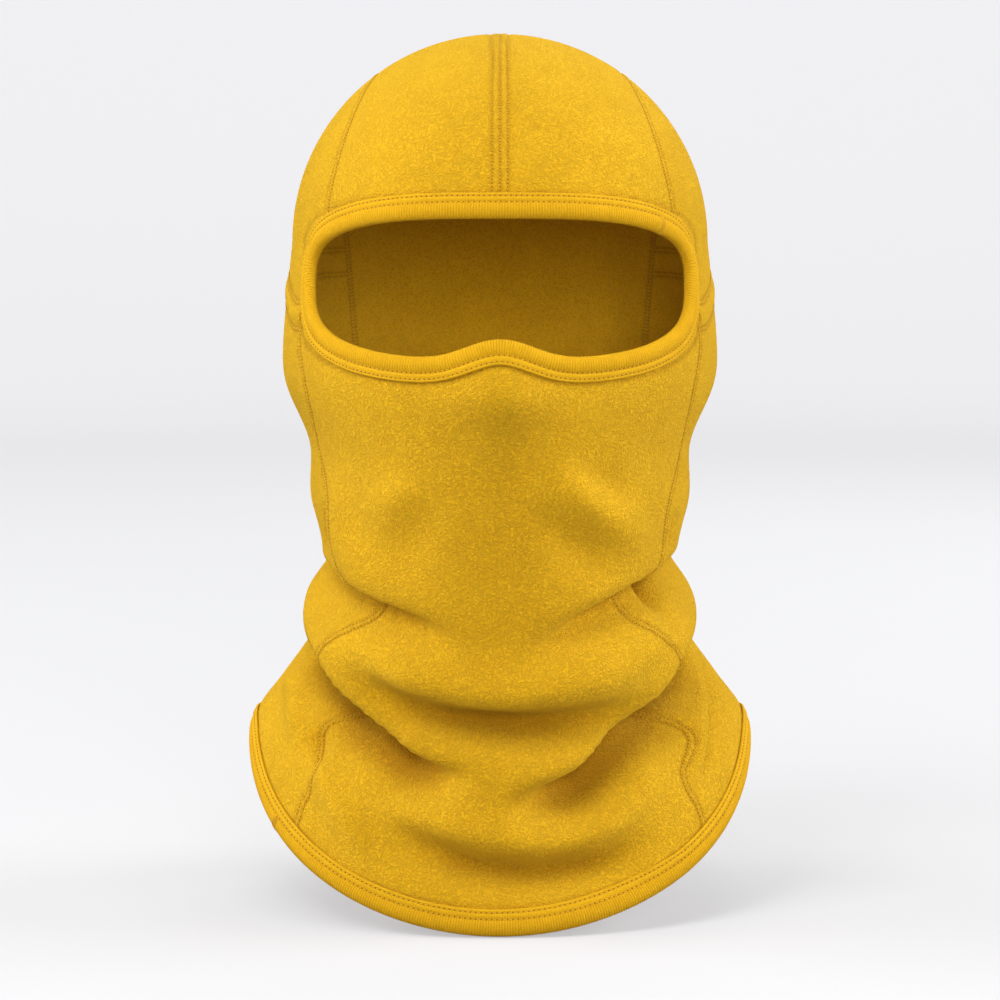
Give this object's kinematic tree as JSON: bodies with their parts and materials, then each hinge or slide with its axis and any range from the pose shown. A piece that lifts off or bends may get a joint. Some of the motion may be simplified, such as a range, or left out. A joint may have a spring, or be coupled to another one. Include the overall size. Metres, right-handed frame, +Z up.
{
  "type": "balaclava",
  "caption": "Knit balaclava with one wide eye opening, ribbed bindings, panelled crown, gathered neck and a rounded bib hem.",
  "frame": {"origin": "inside of the crown where the top of the wearer's head touches it", "axes": "+Z up, the face looks along -Y, +X to the right of a person who looks at the face"},
  "size_m": [0.203, 0.2144, 0.3556],
  "materials": {
    "fleece": "brushed fleece knit, mustard yellow, matt",
    "ribbed_binding": "fine ribbed knit band, mustard yellow, matt",
    "thread": "polyester sewing thread, mustard yellow"
  },
  "bodies": {
    "root": {"crown_left": "fleece", "crown_right": "fleece", "back_panel": "fleece", "temple_left": "fleece", "temple_right": "fleece", "ear_band_left": "fleece", "ear_band_right": "fleece", "side_left": "fleece", "side_right": "fleece", "face_panel": "fleece", "eye_binding": "ribbed_binding", "hem_binding": "ribbed_binding", "eye_binding_join": "thread", "hem_binding_join": "thread", "eye_twin_stitch": "thread", "hem_twin_stitch": "thread", "crown_center_seam": "thread", "crown_cross_seam": "thread", "crown_seam_left": "thread", "crown_seam_right": "thread", "back_seam_left": "thread", "back_seam_right": "thread", "face_seam_left": "thread", "face_seam_right": "thread", "ear_seam_upper_left": "thread", "ear_seam_upper_right": "thread", "ear_seam_lower_left": "thread", "ear_seam_lower_right": "thread"}
  },
  "joints": []
}
